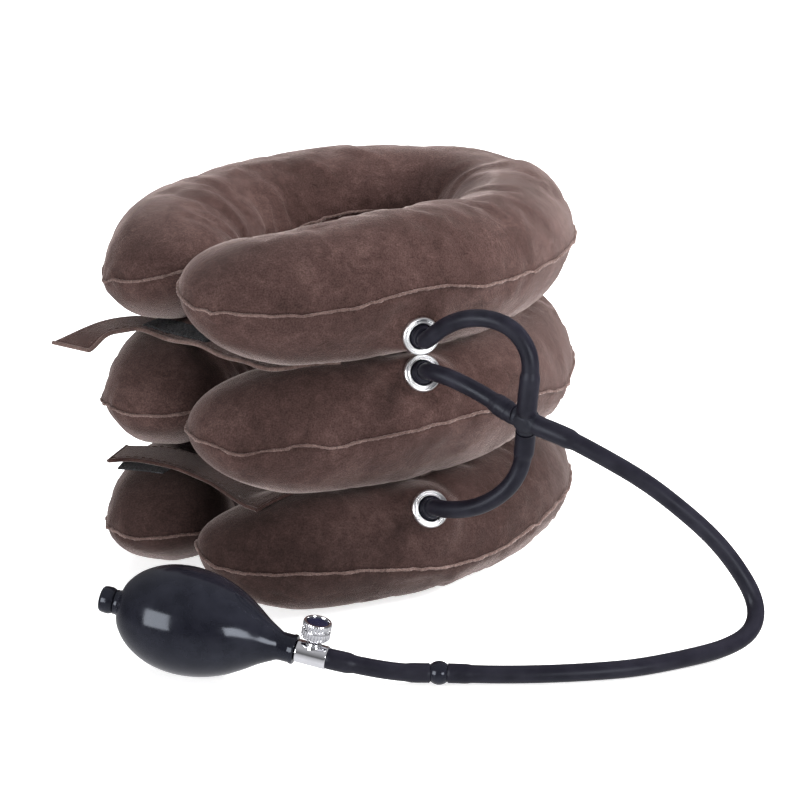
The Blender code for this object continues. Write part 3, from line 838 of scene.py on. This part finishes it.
def settle(cover, key):
    """Blows the cover up as cloth whose seams are drawn in, which wrinkles it beside them."""
    rest = mesh_points(cover)
    seams = cover.vertex_groups.new(name="seams")
    for column in (0, AROUND // 2):
        for aside, weight in ((0, 1.0), (1, 0.35), (-1, 0.35)):
            members = [row * AROUND + (column + aside) % AROUND
                       for row in range(BODY_ROWS + 2 * CAP_ROWS)]
            seams.add(members, weight, "REPLACE")
    cloth = cover.modifiers.new("Cloth", "CLOTH")
    for name, value in CLOTH.items():
        setattr(cloth.settings, name, value)
    cloth.settings.effector_weights.gravity = 0
    cloth.collision_settings.use_collision = False
    cloth.point_cache.frame_start = 1
    cloth.point_cache.frame_end = SETTLE_FRAMES
    scene = bpy.context.scene
    for number in range(1, SETTLE_FRAMES + 1):
        scene.frame_set(number)
    graph = bpy.context.evaluated_depsgraph_get()
    moved = mesh_points(cover.evaluated_get(graph))
    cover.modifiers.remove(cloth)
    scene.frame_set(1)
    step = wrinkles(moved - rest)
    length = np.linalg.norm(step, axis=1)
    step *= np.minimum(1, SETTLE_CAP / np.maximum(length, 1e-9))[:, None]
    from_port = np.linalg.norm(rest - np.array(Vector(PORTS[key]["at"]) + SHIFT), axis=1)
    step *= np.clip((from_port - PORT_CALM[0]) / PORT_CALM[1], 0.0, 1.0)[:, None]
    settled = rest + step
    settled[:, 2] = np.maximum(settled[:, 2], FLOOR_GAP)
    cover.data.vertices.foreach_set("co", settled.astype(np.float32).ravel())
    cover.data.update()


def mesh_points(made):
    points = np.zeros(len(made.data.vertices) * 3, np.float32)
    made.data.vertices.foreach_get("co", points)
    return points.reshape(-1, 3).astype(float)


def open_port(cover, key):
    """Takes away the fabric inside the eyelet's bore."""
    port = PORTS[key]
    place = Vector(port["at"]) + SHIFT
    axis = port_axis(port)
    mesh = bmesh.new()
    mesh.from_mesh(cover.data)
    bmesh.ops.recalc_face_normals(mesh, faces=mesh.faces)
    doomed = []
    for face in mesh.faces:
        reach = face.calc_center_median() - place
        height = reach.dot(axis)
        if abs(height) < 0.008 and (reach - height * axis).length < EYELET_BORE:
            doomed.append(face)
    bmesh.ops.delete(mesh, geom=doomed, context="FACES")
    mesh.to_mesh(cover.data)
    mesh.free()
    cover.data.shade_smooth()


SEAM_STEP = 0.001
STITCH_PITCH = 0.0032
SEAM_SECTION = mm([(-1.2, 0.7), (-0.1, 0.6), (0.7, 0.3), (0.7, -0.3), (-0.1, -0.6), (-1.2, -0.7)])


def make_seam(key, cover, rows, look):
    """The sewn edge where the two panels meet: a thin uneven lip round the whole ring."""
    points = mesh_points(cover) - np.array(SHIFT)
    outer = points[[row * AROUND for row in range(rows)]]
    inner = points[[row * AROUND + AROUND // 2 for row in range(rows)]][::-1]
    loop = np.concatenate([outer, points[-1:], inner, points[-2:-1], outer[:1]])
    marks = distances(loop)
    even = np.linspace(0, marks[-1], round(marks[-1] / SEAM_STEP), endpoint=False)
    loop = along_line(even, marks, loop)
    ahead = unit(np.roll(loop, -1, axis=0) - np.roll(loop, 1, axis=0))
    upward = np.array([0.0, 0.0, 1.0])
    outwards = unit(np.cross(ahead, upward))
    seed = len(key) * 3.7
    vertices = []
    for index, point in enumerate(loop):
        run = index * SEAM_STEP
        wobble = 0.0005 * noise.noise(Vector((run * 120, seed, 0)))
        wobble += 0.0002 * noise.noise(Vector((run * 420, seed, 5)))
        stitch = 0.9 + 0.12 * math.sin(run * math.tau / STITCH_PITCH)
        size = stitch * (1 + 0.4 * noise.noise(Vector((run * 160, seed, 9))))
        for out, up in SEAM_SECTION:
            spot = point + outwards[index] * out * size
            vertices.append(spot + upward * (up * size + wobble))
    faces = grid_faces(len(loop), len(SEAM_SECTION), closed=True)
    return add_object(f"seam_{key}", vertices, faces, look, None)


def make_bladder(key, points, look):
    """The air bladder inside the cover, a little smaller all round."""
    rows = points[BLADDER_TRIM:-BLADDER_TRIM:3]
    centres = rows.mean(axis=1, keepdims=True)
    shrunk = (centres + (rows - centres) * BLADDER_SIZE)[:, ::3]
    made = add_object(f"air_bladder_{key}", shrunk.reshape(-1, 3), tube_faces(*shrunk.shape[:2]),
                      look, None)
    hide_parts(f"bladder_{key}")
    return made


# ---- straps

UPPER_FRONT = mm([
    (1.4, -83.5), (-17.6, -89), (-33.7, -92.5), (-46.6, -80.2), (-57.7, -65.3), (-69, -50.2),
    (-84.8, -34.9), (-98.5, -20.5)
])
UPPER_BACK = mm([
    (-1, -79), (-16, -80), (-29, -74), (-37, -59), (-45.5, -44), (-55, -33), (-70, -18), (-88, -1)
])
UPPER_LEVEL = 0.1211
UPPER_TIP = mm([
    [(-98.5, -20.5, 121.1), (-88, -1, 121.1)], [(-107.5, -22.5, 121.5), (-101, 1.5, 122.2)],
    [(-116, -25.5, 117.8), (-119, -1, 119.8)], [(-122.5, -29, 113), (-141.5, -10.5, 112)]
])
LOWER_FRONT = mm([
    (-38.5, -96.5), (-48, -85), (-64, -62), (-79.5, -48), (-100, -38.5), (-113, -42.5)
])
LOWER_BACK = mm([(-18.2, -83.3), (-28, -69), (-44, -46), (-60, -28), (-85, -11), (-106, -8)])
LOWER_LEVELS = mm(((-80, 56), (-62, 54), (-44, 50)))
STRAP_THICKNESS = 0.0016
STITCH_LIFT = 0.0009
STITCH_INSET = 0.0032
SEWN_ROW = 6


def resample(rows, count):
    """A smooth line through points, as `count` points."""
    rows = np.array(rows, float)
    if rows.shape[1] == 2:
        rows = np.concatenate([rows, np.zeros((len(rows), 1))], axis=1)
    fine = smooth_route([tuple(row) for row in rows], 0.0008)
    wanted = np.linspace(0, len(fine) - 1, count)
    return along_line(wanted, np.arange(len(fine)), fine)


def thick_sheet(name, grid, thickness, look, slot):
    """A sheet with a rounded edge, round a grid of middle points."""
    rows, columns = grid.shape[:2]
    along = np.gradient(grid, axis=0)
    across = np.gradient(grid, axis=1)
    normal = unit(np.cross(along, across))
    normal *= np.sign(normal[..., 2:3].mean())
    edge = np.ones((rows, columns))
    edge[[0, -1], :] = 0.55
    edge[:, [0, -1]] = 0.55
    half = normal * (thickness / 2) * edge[..., None]
    top, low = grid + half, grid - half
    vertices = [*top.reshape(-1, 3), *low.reshape(-1, 3)]
    offset = rows * columns
    faces = grid_faces(rows, columns, wrap=False)
    faces += [tuple(index + offset for index in face[::-1]) for face in faces]
    order = np.arange(offset).reshape(rows, columns)
    rim = [*order[0], *order[1:, -1], *order[-1, -2::-1], *order[-2:0:-1, 0]]
    rim = [int(index) for index in rim]
    for here, following in zip(rim, rim[1:] + rim[:1]):
        faces.append((here, following, following + offset, here + offset))
    return add_object(name, vertices, faces, look, None, 60)


def strap_grid(front, back, columns):
    """A grid of points between a strap's two long edges."""
    shares = np.linspace(0, 1, columns)[None, :, None]
    return front[:, None, :] * (1 - shares) + back[:, None, :] * shares


def surface_height(points, spot, lowest):
    """The height of a ring's upper fabric over a point of the plan, or `lowest` beside it."""
    away = np.linalg.norm(points[:, :2] - spot[:2], axis=1)
    near = np.argsort(away)[:4]
    if away[near[0]] > 0.004:
        return lowest
    weights = 1 / (away[near] + 1e-4)
    return max(float((points[near, 2] * weights).sum() / weights.sum()), lowest)


def draped_strap(key, front, back, levels, lift, columns=18, rows=90):
    """A strap that lies on a ring, never lower than the (x, height) pairs of `levels`."""
    grid = strap_grid(resample(front, rows), resample(back, rows), columns)
    upper = RING_POINTS[key][:, :AROUND // 2 + 1].reshape(-1, 3)
    for point in grid.reshape(-1, 3):
        lowest = np.interp(point[0], *zip(*levels))
        point[2] = surface_height(upper, point, lowest) + lift
    for _ in range(3):
        level = grid[..., 2]
        level[1:-1, 1:-1] = (level[:-2, 1:-1] + level[2:, 1:-1] + level[1:-1, :-2]
                             + level[1:-1, 2:]) / 4
    return grid


def welt(name, line, radius, look):
    """A turned hem: a narrow round edge along a line."""
    made = tube_mesh(name, line, np.full(len(line), radius), look, sides=8)
    return made


def stitches(name, lines, look, length=0.0024, gap=0.0014, radius=0.00022, sides=6):
    """Rows of short raised stitches along lines of points."""
    vertices, faces = [], []
    for line in lines:
        run = distances(line)
        start = gap
        while start + length < run[-1]:
            marks = np.linspace(start, start + length, 5)
            centre = along_line(marks, run, line)
            way = unit(centre[-1] - centre[0])
            side = unit(np.cross(way, (0, 0, 1.0)))
            other = np.cross(side, way)
            base = len(vertices)
            for spot, size in zip(centre, (0.35, 0.9, 1.0, 0.9, 0.35)):
                vertices += hoop(spot, side, other, radius * size, sides)
            faces += [tuple(base + index for index in face) for face in tube_faces(5, sides)]
            start += length + gap
    return add_object(name, vertices, faces, look, None)


def edge_lines(grid, inset, lift):
    """Lines that run just inside a strap's two long edges."""
    width = np.linalg.norm(grid[:, 0] - grid[:, -1], axis=1)[:, None]
    share = inset / width
    near = grid[:, 0] * (1 - share) + grid[:, -1] * share
    far = grid[:, -1] * (1 - share) + grid[:, 0] * share
    up = np.array([0, 0, lift])
    return [near + up, far + up]


def make_strap(side, grid, looks, hem, ends, patch, body, across, **sheet):
    """A strap with its hems, stitches and hook patch.

    `hem` is its front hem's radius and `ends` gives the narrower ones at its ends.
    """
    look, edge_look, hook_look = looks
    strap = thick_sheet(f"{side}_strap", grid, STRAP_THICKNESS, look, "velvet")
    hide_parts(f"strap_{side}", f"strap_{side}_tip")
    edges = [welt(f"{side}_strap_front_hem", grid[:, 0], hem, edge_look)]
    edges += [welt(f"{side}_strap_{end}", grid[row], hem - 0.0001, edge_look)
              for end, row in ends.items()]
    lines = edge_lines(grid, STITCH_INSET, STITCH_LIFT)
    if "sewn_end" in ends:
        lines.append(grid[SEWN_ROW] + np.array([0, 0, STITCH_LIFT]))
    edges.append(stitches(f"{side}_strap_stitches", lines, edge_look))
    for piece in (strap, *edges):
        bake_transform(piece)
    hooks = thick_sheet(f"{side}_hook_patch", *patch, hook_look, "hook")
    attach(hooks, body)
    return hooks


def make_upper_strap(*looks):
    flat = strap_grid(resample(UPPER_FRONT, 90), resample(UPPER_BACK, 90), 18)
    flat[..., 2] = UPPER_LEVEL
    fronts, backs = zip(*UPPER_TIP)
    tip = strap_grid(resample(fronts, 46), resample(backs, 46), 18)
    grid = np.concatenate([flat[:-2], tip[1:]])
    wave = np.linspace(0, 1, len(grid))[:, None]
    grid[..., 2] += 0.0006 * np.sin(wave * 31) * np.linspace(1, 0, 18)[None, :]
    hinge = (np.array(fronts[0]) + np.array(backs[0])) / 2
    across = [hinge + np.array([0.007, -0.003, 0]), hinge + np.array([-0.013, 0.004, 0])]
    patch = strap_grid(
        resample([(-0.064, -0.05), (-0.083, -0.032), (-0.0965, -0.0175)], 60),
        resample([(-0.052, -0.038), (-0.07, -0.0205), (-0.088, -0.003)], 60), 16)
    for point in patch.reshape(-1, 3):
        fuzz = noise.noise(Vector(point) * 1400) + noise.noise(Vector(point) * 420)
        point[2] = UPPER_LEVEL + 0.0017 + 0.0004 * fuzz
    hooks = make_strap("upper", grid, looks, 0.0011, {"end_hem": -1}, (patch, 0.0012),
                       "top_ring", across, flat=(0.022, 0.175), rests_on=["cover_middle"])
    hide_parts("hook_patch_upper")


def make_lower_strap(*looks):
    grid = draped_strap("bottom", LOWER_FRONT, LOWER_BACK, LOWER_LEVELS, 0.0017)
    free = np.clip(np.linspace(-1.1, 1, len(grid)), 0, 1)[:, None]
    grid[..., 2] += 0.0028 * free * np.linspace(1, 0.1, grid.shape[1])[None, :]
    patch = draped_strap("bottom", [(-0.086, -0.052), (-0.095, -0.048), (-0.1085, -0.044)],
                         [(-0.08, -0.038), (-0.09, -0.034), (-0.106, -0.03)],
                         LOWER_LEVELS, 0.0009, columns=12, rows=40)
    make_strap("lower", grid, looks, 0.001, {"end_hem": -1, "sewn_end": 0}, (patch, 0.0011),
               "middle_ring", [(-0.085, -0.029, 0.054), (-0.104, -0.024, 0.054)],
               flat=(0.032, 0.125), rests_on=["cover_bottom"])


# ---- bulb and valve

BULB_OUTLINE = mm([
    (5.8, 4.8), (6.2, 6.8), (11, 8.8), (16.2, 13), (20.5, 19), (23.6, 26.5), (25.1, 35), (25.1, 43),
    (23.6, 52), (20.3, 61.5), (15.5, 70), (10.8, 77), (7.8, 82.5), (6.7, 85), (6.7, 92)
])
BULB_WALL = 0.002


def make_bulb(look):
    smooth = smooth_route([(radius, 0, height) for radius, height in BULB_OUTLINE], 0.0011)
    outer = [(point[0], point[2]) for point in smooth]
    lip = mm([(7, 90.5), (7, 91.7), (6.6, 92)])
    outer = [point for point in outer if point[1] < 0.09] + lip
    inner = [(max(radius - BULB_WALL, 0.0042), height) for radius, height in BULB_OUTLINE]
    turned("squeeze_bulb", "bulb", outer + inner[::-1], frame_on(BULB_TAIL, BULB_AXIS), look,
           "root", steps=120, sharp=35)


def make_tail_plug(look):
    plug = mm([
        (1.2, -2.2), (4.8, -2.5), (6.1, -1.4), (6.3, 0.8), (6.3, 2.4), (5.8, 3.8), (5.4, 4.4),
        (3.6, 4.8), (3.6, 12), (1.6, 12), (1.6, 11.2), (2.8, 11.2), (2.8, 8.2), (1.2, 8.2)
    ])
    turned("tail_plug", "inlet_valve_plug", plug, frame_on(BULB_TAIL, BULB_AXIS), look, "root",
           0.001)


def valve_frame():
    """The place of the knob's spindle, rolled a little about the valve."""
    upright = Vector((0, 0, 1))
    up = (upright - upright.dot(BULB_AXIS) * BULB_AXIS).normalized()
    axis = up * math.cos(VALVE_ROLL) + BULB_AXIS.cross(up) * math.sin(VALVE_ROLL)
    return frame_on(BULB_TAIL + BULB_AXIS * VALVE_AT, axis, BULB_AXIS)


def make_valve(chrome):
    barrel = mm([
        (1.4, 83), (4.4, 83), (4.4, 92.3), (5.2, 92.3), (5.4, 92.8), (5.4, 106.8), (5.2, 107.3),
        (1.8, 107.3), (1.8, 90), (3, 90), (3, 85), (1.4, 85)
    ])
    turned("valve_barrel", "valve_body", barrel, frame_on(BULB_TAIL, BULB_AXIS), chrome, "root",
           0.0004, steps=96)
    boss = mm([(1.6, 3), (4.6, 3), (4.1, 5), (3.5, 5.6), (3.4, 6), (3.2, 6.2), (1.6, 6.2)])
    turned("valve_neck", "valve_body", boss, valve_frame(), chrome, "root", 0.0005,
           steps=64)


def make_knob(chrome, dark):
    """The knob: two knurled bands either side of a groove, and a disc in its dished top, coloured
    dark as a painted reflection.
    """
    ribs = 26

    def knurl(radius, height, turn):
        banded = 0.0095 < height < 0.0123 or 0.014 < height < 0.0163
        if radius < 0.0064 or not banded:
            return radius
        return radius - 0.00055 * (0.5 + 0.5 * math.cos(turn * ribs)) ** 3

    outline = mm([
        (0.9, 6.6), (2.4, 6.6), (3, 7.8), (5.8, 8.5), (6.6, 9.1), (6.7, 9.4), (6.7, 9.7), (6.7, 11),
        (6.7, 12), (6.7, 12.4), (6.2, 12.8), (6.2, 13.4), (6.7, 13.8), (6.7, 14.2), (6.7, 15.1),
        (6.7, 16), (6.6, 16.5), (6.3, 17), (5.5, 17), (5.3, 16.7), (5.2, 15.6), (0.9, 15.6)
    ])
    turned("knurled_knob", "release_knob", outline, valve_frame(), chrome, "valve_knob",
           steps=ribs * 14, shape=knurl, sharp=40)
    # The disc's dark glossy colour is a painted reflection of a dark surround, not a colour of its
    # own.
    insert = mm([(0, 15.8), (5, 15.8), (5.1, 16.2), (4.2, 16.5), (1.2, 16.3), (0, 16.3)])
    turned("knob_top_disc", "knob_insert", insert, valve_frame(), dark, "valve_knob",
           0.0003, ring=False)


# ---- build


def dress(look, *names):
    """Gives CAD nodes that stay in view their material."""
    for name in names:
        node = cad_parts[name]
        node.data.materials.clear()
        node.data.materials.append(look)


BROWNS = [(0.031, 0.017, 0.0148), (0.046, 0.0256, 0.0231), (0.069, 0.041, 0.037)]


def main():
    make_camera()
    make_studio()
    black = rubber("satin_rubber", (0.0062, 0.0056, 0.0095), 0.36, 0.52, 0.2, 0.22)
    gloss = rubber("gloss_rubber", (0.005, 0.0052, 0.0085), 0.12, 0.18, 0.01, 0.31)
    fitting = rubber("moulded_plastic", (0.008, 0.008, 0.012), 0.42, 0.58, 0.3, 0.26)
    # Near-black for the knob's top disc: a painted reflection.
    dark = rubber("knob_top_painted_reflection", (0.006, 0.007, 0.02), 0.12, 0.25, 0.1)
    chrome = metal("chrome_plate", (0.86, 0.86, 0.89), 0.05, 0.1)
    nickel = metal("nickel_eyelet", (0.95, 0.95, 0.96), 0.27, 0.31)
    steel = metal("plain_steel", (0.55, 0.55, 0.56), 0.25, 0.4)
    coupling = make_coupling(gloss)
    cross_pieces = make_cross(fitting)
    make_branch("top", TOP_ROUTE, CROSS_UP, black, 0.0185)
    make_branch("middle", MIDDLE_ROUTE, -CROSS_OUT, black, 0.0125, (0.005, 0.0072, 0.0094))
    make_branch("bottom", BOTTOM_ROUTE, -CROSS_UP, black, 0.014)
    make_hose(black)
    brown = velvet("brown_velvet", *BROWNS)
    browns_with_painted_shade = {"top": brown}
    # The middle and bottom rings get darker copies of the top ring's velvet: painted shade, for the
    # lower rings catching less light.
    for key, shade in (("middle", 0.97), ("bottom", 0.66)):
        tones_with_painted_shade = [tuple(shade * channel for channel in tone) for tone in BROWNS]
        browns_with_painted_shade[key] = velvet(f"brown_velvet_{key}", *tones_with_painted_shade)
    # A lighter velvet for the seams, and for the upper strap's hems and stitches: painted sheen,
    # for the light their raised ridges catch.
    lip = velvet("seam_velvet_painted_sheen", (0.074, 0.047, 0.042), (0.105, 0.07, 0.063),
                 (0.15, 0.106, 0.097))
    bladder = rubber("bladder_film", (0.11, 0.11, 0.115), 0.35, 0.5, 0.2)
    for key in RINGS:
        make_ring(key, browns_with_painted_shade[key], lip, bladder)
        make_port(key, nickel, black)
    hooks = hook_fabric()
    # The upper strap's hems and stitches take the seams' lighter velvet, with its painted sheen.
    make_upper_strap(brown, lip, hooks)
    # The lower strap's body takes the middle ring's darker copy, so it carries the same painted
    # shade.
    make_lower_strap(browns_with_painted_shade["middle"], brown, hooks)
    make_bulb(gloss)
    make_tail_plug(gloss)
    make_valve(chrome)
    make_knob(chrome, dark)
    cloth = woven_cloth()
    dress(cloth, "joining_band_lower", "joining_band_upper")
    dress(steel, "eyelet_washer_bottom", "eyelet_washer_middle", "eyelet_washer_top",
          "release_needle")
    dress(fitting, "inlet_valve_disc", "outlet_valve_disc")


main()
